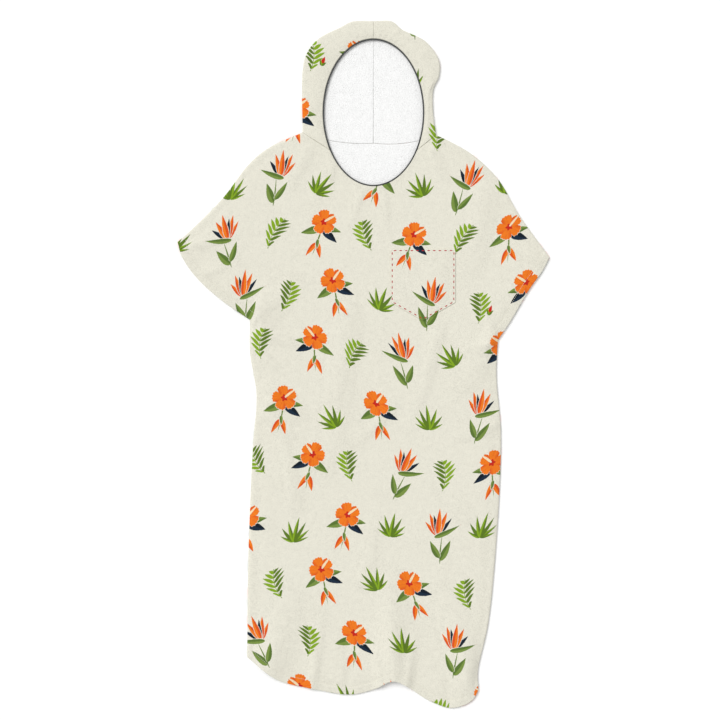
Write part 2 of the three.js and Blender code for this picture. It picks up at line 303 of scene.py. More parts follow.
def colour(red, green, blue):
    # what a screen shows, 0 to 255, as light
    values = np.array([red, green, blue]) / 255
    light = np.where(values <= 0.04045, values / 12.92, ((values + 0.055) / 1.055) ** 2.4)
    return (*light.tolist(), 1.0)


def addNode(kind, inputs, **settings):
    # a new node, in the tree of the first socket among its inputs
    tree = next(value.id_data for value in inputs.values() if isinstance(value, bpy.types.NodeSocket))
    node = tree.nodes.new("ShaderNode" + kind)
    for name, value in settings.items():
        setattr(node, name, value)
    for key, value in inputs.items():
        if isinstance(value, bpy.types.NodeSocket):
            tree.links.new(value, node.inputs[key])
        else:
            node.inputs[key].default_value = value
    return node


def calc(operation, a, b=0.0, c=0.0, clamp=False):
    return addNode("Math", {0: a, 1: b, 2: c}, operation=operation, use_clamp=clamp).outputs[0]


def times(a, b):
    return calc("MULTIPLY", a, b)


def minus(a, b, clamp=False):
    return calc("SUBTRACT", a, b, clamp=clamp)


def timesPlus(a, b, c, clamp=False):
    return calc("MULTIPLY_ADD", a, b, c, clamp)


def vectorCalc(operation, a, b=(0, 0, 0), output="Vector"):
    return addNode("VectorMath", {0: a, 1: b}, operation=operation).outputs[output]


def parts(vector):
    return addNode("SeparateXYZ", {0: vector}).outputs


def vectorOf(x, y, z=0.0):
    return addNode("CombineXYZ", {0: x, 1: y, 2: z}).outputs[0]


def noise(place, scale, detail):
    return addNode("TexNoise", {"Vector": place, "Scale": scale, "Detail": detail}).outputs


def blendColour(amount, under, over, way="MIX"):
    inputs = {0: amount, 6: under, 7: over}
    return addNode("Mix", inputs, data_type="RGBA", blend_type=way).outputs[2]


def ramp(value, fromLow, fromHigh, toLow, toHigh):
    inputs = {"Value": value, "From Min": fromLow, "From Max": fromHigh, "To Min": toLow, "To Max": toHigh}
    return addNode("MapRange", inputs, clamp=True).outputs[0]


inks = {
    "ground": colour(233, 230, 215),
    "orange": colour(242, 124, 30),
    "ember": colour(222, 84, 26),
    "navy": colour(10, 25, 38),
    "ink": colour(22, 42, 62),
    "olive": colour(121, 145, 67),
    "moss": colour(92, 118, 50),
    "lime": colour(133, 168, 34),
    "fern": colour(94, 122, 34),
    "red": colour(200, 40, 25),
    "pale": colour(250, 225, 170),
}
shadeOf = {"orange": "ember", "navy": "ink", "olive": "moss", "lime": "fern"}  # the shaded side of each
printEdges = {"sharp": 2.0, "outline": 1.8}  # of the flat colours, and the pale line round each flower
printLayout = {  # in bands across, flowers with leaves between them
    "alongStep": 188.0,
    "bandStep": 116.0,
    "startBand": 0.34,
    "bandShift": 0.5,  # every other band is moved along
    "bandStray": (0.2, 1.9),  # how far each band strays from that, and how soon it strays back
    "wander": ((11.0, 92.0), (13.0, 81.0)),  # how far the bands wave, and over what length
    "swaps": 0.2,  # how often a motif isn't the one whose turn it is
    "buds": 0.14,  # how many of the leaves have one
    "flower": {"start": 0.16, "stray": (24.0, 6.0), "turn": 0.6, "size": 0.95},
    "leaf": {"start": 0.66, "stray": (18.0, 44.0), "turn": 1.2, "size": 1.25},
}
craneFlower = [  # base, turn from upright in degrees, length, width, bow, colour
    ((3, -58), -3, 66, 1.7, -4, "olive"),
    ((2, -50), -36, 46, 7.5, 5, "olive"),
    ((3, -44), 34, 42, 6.5, -5, "olive"),
    ((7, 4), 44, 40, 4.6, -3, "orange"),
    ((6, 4), -46, 44, 5.0, 3, "navy"),
    ((6, 5), -26, 50, 5.6, 3, "orange"),
    ((6, 5), 24, 50, 5.6, -3, "orange"),
    ((6, 5), 8, 44, 4.6, 3, "navy"),
    ((6, 5), -6, 56, 5.8, 2, "orange"),
    ((12, 3), -80, 58, 3.2, 7, "red"),
    ((13, 0), -79, 56, 5.6, 8, "olive"),
]
bloomLeaves = [  # under the round flower
    ((0, 12), 178, 66, 1.7, 5, "olive"),
    ((-3, 10), -122, 42, 8.5, 4, "olive"),
    ((3, 10), 124, 42, 8.5, -4, "navy"),
    ((0, 12), 82, 42, 7.5, 4, "olive"),
    ((-1, -22), -148, 34, 5.5, -4, "orange"),
    ((-1, -20), 146, 36, 5.5, 4, "orange"),
    ((-1, -14), 168, 20, 3.6, 0, "olive"),
]
bloom = {
    "middle": (0, 24),
    "radius": 26.0,
    "petals": 5,
    "notch": (0.32, 5.0),  # depth and sharpness, between two petals
    "ruffle": (0.03, 27.0),  # depth and number
    "heart": (8.5, 3.5),  # reach, and how much less of it between its points
    "stamen": ((1, 25), 38, 27, 1.7, 3, "pale"),
}
leafFan = [
    ((0, -18), -76, 25, 2.4, 4, "lime"),
    ((0, -18), 77, 25, 2.4, -4, "lime"),
    ((0, -18), -52, 32, 2.9, 4, "fern"),
    ((0, -18), 54, 31, 2.9, -4, "lime"),
    ((0, -18), -27, 37, 3.3, 3, "lime"),
    ((0, -18), 29, 36, 3.2, -3, "fern"),
    ((0, -18), 1, 41, 3.5, 2, "lime"),
]
bud = [
    ((-12, -12), -20, 16, 3.2, 0, "red"),
    ((-12, -13), -48, 11, 2.2, 0, "fern"),
    ((-12, -13), 10, 11, 2.2, 0, "lime"),
]
fernSprig = {
    "halfLength": 25.0,
    "bow": 5.0,
    "stem": 0.7,  # half its width
    "leaflet": 19.0,  # the longest
    "leafletWidth": 0.36,  # as a share of the pitch
    "leafletGap": 0.8,
    "pitch": 7.6,
    "rise": 0.75,  # of a leaflet, away from the stem
}
fullWidth = 2.6  # brings the widest place of a petal's curve to 1


def petalCurve(along):
    # the half width of a pointed petal, from 0 at its base to 0 at its tip
    return times(calc("SQRT", along), minus(1.0, along))


def flatEdge(inside, outline=0.0):
    # 1 inside a flat colour and 0 outside it, with a sharp edge or one that lies a little further out
    return timesPlus(inside, printEdges["sharp"], outline, clamp=True)


def newGroup(name, inputs, outputs):
    # a node group's tree, what it is given, and what it gives
    tree = bpy.data.node_groups.new(name, "ShaderNodeTree")
    for side, sockets in (("INPUT", inputs), ("OUTPUT", outputs)):
        for socket, kind in sockets.items():
            tree.interface.new_socket(socket, in_out=side, socket_type="NodeSocket" + kind)
    return tree, tree.nodes.new("NodeGroupInput").outputs, tree.nodes.new("NodeGroupOutput").inputs


def petalShape():
    # a pointed petal: how much of it covers a place, the same a little wider, and its shaded side
    tree, given, result = newGroup(
        "petalShape",
        {"Place": "Vector", "Base": "Vector", "Along": "Vector", "Across": "Vector",
         "Width": "Float", "Bow": "Float"},
        {"Cover": "Float", "Surround": "Float", "Shaded": "Float"})
    offset = vectorCalc("SUBTRACT", given["Place"], given["Base"])
    along = vectorCalc("DOT_PRODUCT", offset, given["Along"], "Value")
    across = vectorCalc("DOT_PRODUCT", offset, given["Across"], "Value")
    curve = times(times(along, along), given["Bow"])
    aside = minus(across, curve)
    taper = petalCurve(along)
    width = times(taper, given["Width"])
    inside = minus(width, calc("ABSOLUTE", aside))
    within = calc("GREATER_THAN", taper, 0.001)
    tree.links.new(flatEdge(inside), result["Cover"])
    wider = flatEdge(inside, printEdges["outline"])
    tree.links.new(times(wider, within), result["Surround"])
    tree.links.new(flatEdge(aside, 0.5), result["Shaded"])
    return tree


def paintPetal(petal, place, under, row, shown=None):
    # one petal over what is under it; where shown is given it may be missing, and has no pale outline
    (baseX, baseY), turn, length, width, bow, name = row
    turn = math.radians(turn)
    size = width * fullWidth
    if shown is not None:
        size = times(shown, size)
    cover = addNode("Group", {
        "Place": place, "Base": (baseX, baseY, 0), "Bow": bow, "Width": size,
        "Along": (math.sin(turn) / length, math.cos(turn) / length, 0),
        "Across": (math.cos(turn), -math.sin(turn), 0),
    }, node_tree=petal).outputs
    if shown is None:
        under = blendColour(cover["Surround"], under, inks["ground"])
    tone = inks[name]
    if name in shadeOf:
        tone = blendColour(cover["Shaded"], tone, inks[shadeOf[name]])
    return blendColour(cover["Cover"], under, tone)


def scatterPlace(place, kind):
    # the place within one motif's own cell, strayed, turned and mirrored by chance; the cell's own
    # chance number; and which of two motifs grows there, by turns with a few swaps
    layout, motif = printLayout, printLayout[kind]
    split = parts(place)
    down = timesPlus(split[1], 1 / layout["bandStep"], layout["startBand"])
    row = calc("FLOOR", down)
    across = timesPlus(split[0], 1 / layout["alongStep"], motif["start"])
    across = timesPlus(calc("FLOORED_MODULO", row, 2.0), layout["bandShift"], across)
    bandStray, quickness = layout["bandStray"]
    bandWave = calc("SINE", times(row, quickness))
    across = timesPlus(bandWave, bandStray, across)
    column = calc("FLOOR", across)
    cell = vectorOf(column, row, motif["size"])
    chance = addNode("TexWhiteNoise", {"Vector": cell}, noise_dimensions="3D").outputs
    dice = addNode("SeparateColor", {0: chance["Color"]}).outputs

    def strayed(value, cellNumber, step, roll, stray):
        inCell = minus(minus(value, cellNumber), 0.5)
        strayOff = times(minus(roll, 0.5), stray / motif["size"])
        return timesPlus(inCell, step / motif["size"], strayOff)

    x = strayed(across, column, layout["alongStep"], dice[0], motif["stray"][0])
    y = strayed(down, row, layout["bandStep"], dice[1], motif["stray"][1])
    turn = times(minus(dice[2], 0.5), motif["turn"])
    sine, cosine = calc("SINE", turn), calc("COSINE", turn)
    turnedX = timesPlus(x, cosine, times(y, sine))
    turnedY = minus(times(y, cosine), times(x, sine))
    mirror = timesPlus(calc("ROUND", dice[0]), 2.0, -1.0)
    mirroredX = times(turnedX, mirror)
    local = vectorOf(mirroredX, turnedY)
    swapped = calc("GREATER_THAN", chance["Value"], 1 - layout["swaps"])
    byTurns = calc("FLOORED_MODULO", calc("ADD", column, row), 2.0)
    other = calc("ABSOLUTE", minus(byTurns, swapped))
    return local, chance["Value"], other


def paintBloom(place, under):
    # a round flower of ruffled petals
    offset = vectorCalc("SUBTRACT", place, (*bloom["middle"], 0))
    split = parts(offset)
    reach = vectorCalc("LENGTH", offset, output="Value")
    angle = calc("ARCTAN2", split[1], split[0])
    petalCount = times(angle, bloom["petals"] / 2 / math.pi)
    share = calc("FLOORED_MODULO", petalCount, 1.0)
    aside = times(calc("ABSOLUTE", minus(share, 0.5)), 2.0)
    (depth, sharpness), (ruffleDepth, ruffles) = bloom["notch"], bloom["ruffle"]
    notch = calc("POWER", aside, sharpness)
    ruffle = times(calc("SINE", times(angle, ruffles)), ruffleDepth)
    outline = timesPlus(notch, -depth, calc("ADD", ruffle, 1.0))
    inside = minus(times(outline, bloom["radius"]), reach)
    under = blendColour(flatEdge(inside, printEdges["outline"]), under, inks["ground"])
    overlap = times(ramp(share, 0.62, 1.0, 0.0, 1.0),
                   ramp(reach, 4.0, 18.0, 0.0, 1.0))
    rib = ramp(aside, 0.0, 0.1, 0.45, 0.0)
    shaded = calc("MAXIMUM", overlap, rib)
    tone = blendColour(shaded, inks["orange"], inks["ember"])
    heart, betweenPoints = bloom["heart"]
    star = timesPlus(aside, -betweenPoints, heart)
    tone = blendColour(minus(star, reach, clamp=True), tone, inks["red"])
    return blendColour(flatEdge(inside), under, tone)


def paintSprig(place, under, shown):
    # a sprig of paired leaflets on a bowed stem
    size = fernSprig
    split = parts(place)
    x, y = split[0], split[1]
    lean = times(times(y, y), size["bow"] / size["halfLength"] ** 2)
    fromStem = minus(x, lean)
    out = calc("ABSOLUTE", fromStem)
    root = timesPlus(out, -size["rise"], y)
    inPair = calc("FRACT", times(root, 1 / size["pitch"]))
    offCentre = calc("ABSOLUTE", minus(inPair, 0.5))
    aside = times(offCentre, size["pitch"] * size["leafletGap"])
    share = times(root, 1 / size["halfLength"])
    shorter = timesPlus(times(share, share), -1.0, 1.0)
    reach = calc("MAXIMUM", times(shorter, size["leaflet"]), 0.01)
    taper = petalCurve(calc("DIVIDE", out, reach))
    widest = size["pitch"] * size["leafletWidth"] * fullWidth
    leaflets = flatEdge(minus(times(taper, widest), aside))
    inStem = minus(size["stem"], out)
    toTip = minus(size["halfLength"], calc("ABSOLUTE", y))
    stem = flatEdge(calc("MINIMUM", inStem, toTip))
    cover = times(calc("MAXIMUM", leaflets, stem), shown)
    tone = blendColour(flatEdge(fromStem, 0.5), inks["lime"], inks["fern"])
    return blendColour(cover, under, tone)


def tropicalPrint():
    # flowers and leaves in flat colours on a pale ground, from a place in metres on the cloth
    tree, given, result = newGroup("tropicalPrint", {"Place": "Vector"}, {"Colour": "Color"})
    petal = petalShape()
    place = vectorCalc("MULTIPLY", given["Place"], (1 / mm, 1 / mm, 0))
    split = parts(place)
    waves = []
    for (reach, length), other in zip(printLayout["wander"], (1, 0)):
        wave = calc("SINE", times(split[other], 1 / length))
        waves.append(times(wave, reach))
    wander = vectorOf(waves[0], waves[1])
    place = vectorCalc("ADD", place, wander)

    def paintPetals(rows, local, under, shown=None):
        for row in rows:
            under = paintPetal(petal, local, under, row, shown)
        return under

    ground = inks["ground"]
    flowers, _, blooms = scatterPlace(place, "flower")
    craneShade = paintPetals(craneFlower, flowers, ground)
    bloomShade = paintBloom(flowers, paintPetals(bloomLeaves, flowers, ground))
    bloomShade = paintPetals([bloom["stamen"]], flowers, bloomShade)
    shade = blendColour(blooms, craneShade, bloomShade)
    leaves, chance, sprigs = scatterPlace(place, "leaf")
    shade = paintSprig(leaves, shade, sprigs)
    shade = paintPetals(leafFan, leaves, shade, minus(1.0, sprigs))
    shade = paintPetals(bud, leaves, shade, calc("LESS_THAN", chance, printLayout["buds"]))
    tree.links.new(shade, result["Colour"])
    return tree


def newMaterial(name, roughness, sheen=0.0):
    material = bpy.data.materials.new(name)
    material.use_nodes = True
    tree = material.node_tree
    shader = tree.nodes["Principled BSDF"]
    gloss = {"Roughness": roughness, "Specular IOR Level": 0.2}
    soft = {"Sheen Weight": sheen, "Sheen Roughness": 0.5}
    for socket, value in {**gloss, **soft}.items():
        shader.inputs[socket].default_value = value
    return material, tree, shader


def finish(shader, tone, height, strength, distance):
    bump = addNode("Bump", {"Strength": strength, "Distance": distance * mm, "Height": height})
    for socket, name in ((tone, "Base Color"), (bump.outputs[0], "Normal")):
        socket.id_data.links.new(socket, shader.inputs[name])


terry = {
    "loop": 1.5,  # across one loop of the pile
    "loopShapes": ((0.85, 1.35), (1.4, 0.9)),  # some lie along and some across
    "loopFall": 1.7,  # how steeply a loop falls away
    "loopBump": 0.75,
    "bumpDepth": 0.45,  # as a share of the loop
    "yarn": (2400.0, 0.35),  # how fine, and how high in the bump
    "tufts": (170.0, 0.6),
    "between": (0.35, 0.85),  # the height of the loops where the painted shade starts and ends
    "paintedShadeBetweenLoops": 0.86,  # painted shade on the printed side in the gaps between the loops
    "patchy": (0.97, 1.02),
    "printBleed": 1.5,  # how far the print's edge strays with the loops
    "roughness": 0.95,
    "sheen": 0.12,
    "inside": colour(252, 252, 251),
    "insideLoop": 1.95,
    "insideBump": 0.9,
    # painted shade on the plain side in the gaps between the loops
    "insidePaintedShadeBetweenLoops": 0.93,
}


def pile(shader, tone, place, loop, strength, deepestPaintedShade):
    # loops of towelling over this tone: their bump, and the shade painted in the gaps between them
    domes = []
    for across, along in terry["loopShapes"]:
        scale = (1 / (loop * across * mm), 1 / (loop * along * mm), 900 / loop)
        stretched = vectorCalc("MULTIPLY", place, scale)
        loops = addNode("TexVoronoi", {"Vector": stretched, "Scale": 1.0, "Randomness": 0.8})
        near = loops.outputs["Distance"]
        domes.append(timesPlus(times(near, near), -terry["loopFall"], 1.0))
    crown = calc("MAXIMUM", *domes)
    (yarnScale, yarnHeight), (tuftScale, tuftHeight) = terry["yarn"], terry["tufts"]
    yarn = noise(place, yarnScale / loop, 1.0)
    tufts = noise(place, tuftScale / loop, 2.0)
    height = timesPlus(yarn[0], yarnHeight, crown)
    height = timesPlus(tufts[0], tuftHeight, height)
    # painted shade in the gaps between the loops, then times slight random patches of tone
    between = ramp(crown, *terry["between"], deepestPaintedShade, 1.0)
    patchy = ramp(tufts[0], 0.3, 0.7, *terry["patchy"])
    dark = times(between, patchy)
    paintedShadeAndPatches = addNode("CombineColor", {0: dark, 1: dark, 2: dark}).outputs[0]
    finish(shader, blendColour(1.0, tone, paintedShadeAndPatches, "MULTIPLY"), height, strength, loop * terry["bumpDepth"])


def printedTerry():
    material, tree, shader = newMaterial("printedTerry", terry["roughness"], terry["sheen"])
    solid = tree.nodes.new("ShaderNodeTexCoord").outputs["Object"]
    flat = tree.nodes.new("ShaderNodeUVMap")
    flat.uv_map = "printPlace"
    fray = noise(solid, 700.0, 1.0)
    stray = vectorCalc("SUBTRACT", fray["Color"], (0.5, 0.5, 0.5))
    stray = vectorCalc("MULTIPLY", stray, (terry["printBleed"] * mm, terry["printBleed"] * mm, 0))
    place = vectorCalc("ADD", flat.outputs[0], stray)
    design = addNode("Group", {"Place": place}, node_tree=tropicalPrint()).outputs[0]
    pile(shader, design, solid, terry["loop"], terry["loopBump"], terry["paintedShadeBetweenLoops"])
    return material


def plainTerry():
    material, tree, shader = newMaterial("plainTerry", terry["roughness"], terry["sheen"])
    solid = tree.nodes.new("ShaderNodeTexCoord").outputs["Object"]
    pile(shader, terry["inside"], solid, terry["insideLoop"], terry["insideBump"], terry["insidePaintedShadeBetweenLoops"])
    return material


trims = {  # colours (on thread, the darker is painted shade in the grooves and the lighter the crests), roughness, sheen, how fine the twill or the twist is, its waver, depth of the bump
    "wovenTape": (colour(52, 54, 54), colour(92, 94, 93), 0.85, 0.1, 420.0, 1.5, 0.3),
    "redThread": (colour(158, 37, 44), colour(198, 56, 60), 0.8, 0.2, 700.0, 1.0, 0.2),
    "paleThread": (colour(206, 202, 186), colour(228, 224, 208), 0.8, 0.2, 700.0, 1.0, 0.2),
}


def trimMaterial(name, worn=False):
    # slanted ribs, which carry the colour too as painted shade in their grooves, but for cloth worn in
    # patches, which takes random patches of tone instead
    dark, light, roughness, sheen, fineness, waver, depth = trims[name]
    material, tree, shader = newMaterial(name, roughness, sheen)
    solid = tree.nodes.new("ShaderNodeTexCoord").outputs["Object"]
    inputs = {"Vector": solid, "Scale": fineness, "Distortion": waver, "Detail": 1.0 if worn else 2.0}
    ribs = addNode("TexWave", inputs, wave_type="BANDS", bands_direction="DIAGONAL").outputs[0]
    # on thread: painted shade from the ribs; on the worn tape: random patches of wear
    shade = noise(solid, 260.0, 2.0)[0] if worn else ribs
    finish(shader, blendColour(shade, dark, light), ribs, 0.4, depth)
    return material


printedCloth = printedTerry()
insideCloth = plainTerry()
tapeCloth = trimMaterial("wovenTape", worn=True)
redThread = trimMaterial("redThread")
paleThread = trimMaterial("paleThread")
print("materials made")


# hood

hood = {
    "sections": 150,  # from the neck to the crown
    "endSections": (0.001, 0.003, 0.006, 0.994, 0.997, 0.999),
    "frontSteps": (0, 0.4, 0.9, 1.6, 2.5, 4, 6, 8, 10.5),  # from the face opening
    "evenFront": (0.1, 18),  # where even steps start, and how many
    "foldSteps": 12,
    "backSteps": 46,
    "backEndSteps": (0.97, 0.985, 0.995),
    "endTurn": 14,  # over which the fold turns square to the seams
    "puff": (1.5, 1.3, 40),  # height, sharpness, and how wide the front is for the full height
    "printFold": 142,  # where the print on the back starts again
    "edges": {"opening": (0.85, 1.8), "seam": (0.7, 1.4), "neck": (0.6, 1.3), "crown": (0.6, 1.2)},
    "creases": [
        ((-64, 682), (-38, 650), 6, 2.2),
        ((54, 676), (34, 650), 6, 2.4),
        ((124, 542), (102, 568), 8, 2.2),
        ((-141, 520), (-104, 500), 9, 1.5),
        ((-141, 580), (-108, 566), 8, 1.2),
        ((-130, 640), (-84, 600), 9, 1.7),
        ((118, 642), (80, 600), 9, 1.8),
    ],
    "insideCreases": [  # of the back of the hood, seen through the face opening
        ((-10, 560), (-86, 596), 9, 1.0),
        ((8, 500), (84, 470), 10, 1.1),
        ((-6, 470), (-70, 440), 9, 0.8),
        ((6, 610), (70, 560), 9, 0.8),
    ],
}
neckBack = {"seamY": 444, "bow": 7, "seamTopY": 640, "steps": 24}
hoodOutlines = {-1: smoothLine(cut["hoodLeft"]), 1: smoothLine(cut["hoodRight"])}


def unitWay(way):
    return way / np.linalg.norm(way, axis=-1, keepdims=True)


def hoodStations(side, shares):
    # from neck to crown: edge at the face opening, outline, way out of the fold, and middle of the fold
    outline = hoodOutlines[side]
    degrees = -face["seamAngle"] + shares * (90 + face["seamAngle"])
    opening = openingPoint(degrees if side > 0 else 180 - degrees)
    edge = placeAlong(outline, shares)
    step = 0.002
    before, after = np.maximum(shares - step, 0), np.minimum(shares + step, 1)
    along = unitWay(placeAlong(outline, after) - placeAlong(outline, before))
    outward = np.stack([side * along[:, 1], -side * along[:, 0]], axis=-1)
    length = lengthsAlong(outline)[-1]
    nearNeck = (1 - ease(shares * length, 0, hood["endTurn"]))[:, None]
    nearCrown = (1 - ease((1 - shares) * length, 0, hood["endTurn"]))[:, None]
    outward = outward * (1 - nearNeck) + unitWay(edge[0] - opening[0]) * nearNeck
    outward = unitWay(outward * (1 - nearCrown) + np.array([0.0, 1.0]) * nearCrown)
    for line in (opening, edge):
        line[:, 0] = side * np.maximum(side * line[:, 0], cloth["seamGap"] / 2)
    turn = edge - outward * (cloth["foldRadius"] + halfCloth)
    return opening, edge, outward, turn


def neckEnds(side, gap):
    opening, edge, _, turn = hoodStations(side, np.array([0.0, 0.5, 1.0]))
    drop = np.array([0, -gap])
    return opening[0] + drop, edge[0] + drop, turn[0] + drop


def makeHoodHalf(name, side, node):
    shares = np.unique(np.concatenate([np.linspace(0, 1, hood["sections"]), hood["endSections"]]))
    opening, _, outward, turn = hoodStations(side, shares)
    radius, count = cloth["foldRadius"], len(shares)
    middle, way = [], []  # of the cloth, one row of points along the hood at a time
    span = np.linalg.norm(turn - opening, axis=-1)
    evenFrom, evenCount = hood["evenFront"]
    fronts = [np.minimum(distance / span, 0.5) for distance in hood["frontSteps"]]
    fronts += [np.full(count, share) for share in np.linspace(evenFrom, 1, evenCount + 1)[1:]]
    fronts = np.sort(np.stack(fronts), axis=0)
    puff, sharpness, fullSpan = hood["puff"]
    for share in fronts:
        point = opening + (turn - opening) * share[:, None]
        x, y, arch = point[:, 0], point[:, 1], np.sin(np.pi * share)
        lift = puff * arch ** sharpness * np.clip(span / fullSpan, 0.3, 1)
        lift = lift + foldLift(x, y, hood["creases"]) * arch ** 0.5
        lift = lift + tapeGathers(x, y, share * span) * arch ** 0.3
        middle.append(withHeight(point, hoodFrontHeight + lift))
        way.append(np.broadcast_to([0.0, 0.0, 1.0], (count, 3)))
    for step in range(1, hood["foldSteps"]):
        angle = math.pi * step / hood["foldSteps"]
        out = np.concatenate([outward * math.sin(angle), np.full((count, 1), math.cos(angle))], axis=-1)
        middle.append(withHeight(turn, np.full(count, halfCloth + radius)) + radius * out)
        way.append(out)
    seamX = side * cloth["seamGap"] / 2
    seamY = neckBack["seamY"] + (neckBack["seamTopY"] - neckBack["seamY"]) * shares
    bow = neckBack["bow"] * (1 - shares) ** 2
    for share in np.unique(np.concatenate([np.linspace(0, 1, hood["backSteps"]), hood["backEndSteps"]])):
        x = turn[:, 0] + (seamX - turn[:, 0]) * share
        y = turn[:, 1] + (seamY - turn[:, 1]) * share - bow * 4 * share * (1 - share)
        lift = foldLift(x, y, hood["insideCreases"]) * np.sin(np.pi * share)
        middle.append(withHeight(np.stack([x, y], axis=-1), halfCloth + lift))
        way.append(np.broadcast_to([0.0, 0.0, -1.0], (count, 3)))
    middle, way = np.stack(middle, axis=1), np.stack(way, axis=1)
    fromOpening = np.full(middle.shape[:2], far)
    fromOpening[:, :len(fronts)] = fronts.T * span[:, None]
    lines = {"seam": middle[:, -1:], "neck": middle[:1], "crown": middle[-1:]}
    distances = {edge: np.linalg.norm(middle - line, axis=-1) for edge, line in lines.items()}
    thin = roundedEdges({"opening": fromOpening, **distances}, hood["edges"])
    thickness = (halfCloth * (1 - thin))[..., None]
    outer, inner = middle + way * thickness, middle - way * thickness
    outer[..., 2] = np.maximum(outer[..., 2], 0)
    places = middle[..., :2].copy()
    behind = way[..., 2] < -0.6
    places[behind, 0] = side * 2 * hood["printFold"] - places[behind, 0]
    return clothShell(name, node, outer, inner, places, flip=side > 0)


# body panels

panelSteps = {
    "frontAcross": (42, 6, 44, 6, 42),  # shoulder, neck seam, foot of the face opening, neck seam, shoulder
    "frontDown": (36, 128),  # cuff, side
    "backAcross": (26, 2, 20, 20, 2, 26),  # shoulder, hood's fold, back of the neck in two, fold, shoulder
    "backDown": (24, 84),
    "openingArc": 90,
    "fineAcross": np.array([0.35, 0.9, 1.7, 2.8, 4.2, 6.5, 9.5, 12, 13.5, 15, 16.2, 17.5, 19, 21, 24]) / 560,
    "fineDown": np.array([0.35, 0.9, 1.7, 2.8, 4.2, 6.5, 9.5, 12, 13.3, 14.4, 15.4, 16.4,
                          17.5, 19, 21, 24]) / 1060,
}
panelEdges = {
    "neckFade": 26,  # how far along the shoulder the neck still shows
    "cuffFade": (0.006, 0.003),  # before and past the underarm, as shares of the side
    "frontSettle": 36,  # over which the front comes down to its seams
    "creaseFade": (2, 18),  # from the sides
    # depth and width of the rounding of each edge
    "frontOuter": {"hem": (1.2, 1.6), "seam": (2.3, 5.0), "neck": (0.8, 1.4)},
    "frontInner": {"hem": (1.0, 1.4), "neck": (0.9, 1.6)},
    "backOuter": {"hem": (1.2, 1.6), "seam": (2.2, 5.0), "neck": (0.9, 1.8)},
    "backInner": {"hem": (1.0, 1.4), "neck": (1.0, 2.0)},
    "backGroove": (0.55, 3.2),
    "backPrint": (52, 43),  # where the print starts on the back
}


def bodyPlan(neckline, panel, neckBreaks):
    # points between the shoulders with the neckline, the hem, and both sides
    leftShoulder, rightShoulder = smoothLine(cut["leftShoulder"])[:-1], smoothLine(cut["rightShoulder"])[1:]
    top = np.vstack([leftShoulder, neckline, rightShoulder])
    lengths = lengthsAlong(top)
    marks = np.array([0, *neckBreaks, len(neckline) - 1]) + len(leftShoulder)
    breaks = [0, *(lengths[marks] / lengths[-1]), 1.0]
    across = stretches(breaks, panelSteps[panel + "Across"], panelSteps["fineAcross"])
    cuffs = smoothLine(cut["leftCuff"]), smoothLine(cut["rightCuff"])
    sides = smoothLine(cut["leftSide"]), smoothLine(cut["rightSide"])
    cuffLength, sideLength = lengthsAlong(cuffs[0])[-1], lengthsAlong(sides[0])[-1]
    underarm = cuffLength / (cuffLength + sideLength)
    down = stretches([0, underarm, 1.0], panelSteps[panel + "Down"], panelSteps["fineDown"])
    inCuff = down <= underarm

    def sideLine(cuff, side):
        line = np.empty((len(down), 2))
        line[inCuff] = placeAlong(cuff, down[inCuff] / underarm)
        line[~inCuff] = placeAlong(side, (down[~inCuff] - underarm) / (1 - underarm))
        return line

    left, right = (sideLine(c, s) for c, s in zip(cuffs, sides))
    topRow, hemRow = placeAlong(top, across), placeAlong(smoothLine(cut["hem"]), across)
    u, v = across[None, :, None], down[:, None, None]
    plan = ((1 - v) * topRow + v * hemRow + (1 - u) * left[:, None] + u * right[:, None]
            - (1 - u) * (1 - v) * topRow[0] - u * (1 - v) * topRow[-1]
            - (1 - u) * v * hemRow[0] - u * v * hemRow[-1])
    along = across * lengths[-1]
    neckFrom, neckTo = breaks[1] * lengths[-1], breaks[-2] * lengths[-1]
    pastNeck = np.maximum(neckFrom - along, 0) + np.maximum(along - neckTo, 0)
    before, past = panelEdges["cuffFade"]
    atNeck = 1 - ease(pastNeck, 0, panelEdges["neckFade"])
    atCuff = 1 - ease(down, underarm - before, underarm + past)
    return plan, np.broadcast_to(atNeck, plan.shape[:2]), np.broadcast_to(atCuff[:, None], plan.shape[:2])


def openEdge(plan):
    # how near an open edge is, hem or cuff
    reach = 60
    found = np.full(plan.shape[:2], far)
    for name in ("hem", "leftCuff", "rightCuff"):
        line = smoothLine(cut[name])[::3]
        start, way = line[:-1], np.diff(line, axis=0)
        square = (way ** 2).sum(axis=-1)
        for row, points in enumerate(plan):
            near = np.abs(points[:, None] - line[None, ::10]).max(axis=-1).min(axis=-1) < reach
            if not near.any():
                continue
            toPoint = points[near][:, None] - start[None]
            share = np.clip((toPoint * way[None]).sum(axis=-1) / square, 0, 1)
            apart = np.linalg.norm(toPoint - share[..., None] * way[None], axis=-1).min(axis=-1)
            found[row, near] = np.minimum(found[row, near], apart)
    return found


def edgeDistances(plan, atNeck, atCuff):
    # how far each point is from the sides, the top and the hem of the plan, and from each kind of edge
    def distance(line):
        return np.linalg.norm(plan - line, axis=-1)

    neck = atNeck > 0.98
    side, top = np.minimum(distance(plan[:, :1]), distance(plan[:, -1:])), distance(plan[:1])
    return {
        "side": side, "top": top, "foot": distance(plan[-1:]), "hem": openEdge(plan),
        "seam": np.minimum(np.where(atCuff > 0.5, far, side), np.where(neck, far, top)),
        "neck": np.where(neck, top, far),
    }


def frontRest(x, y):
    # height of the middle of the front cloth, away from its edges
    return (frontEdgeHeight + cloth["loft"] + foldLift(x, y, folds)
            + foldLift(x, y, creases) + unevenness(x, y))


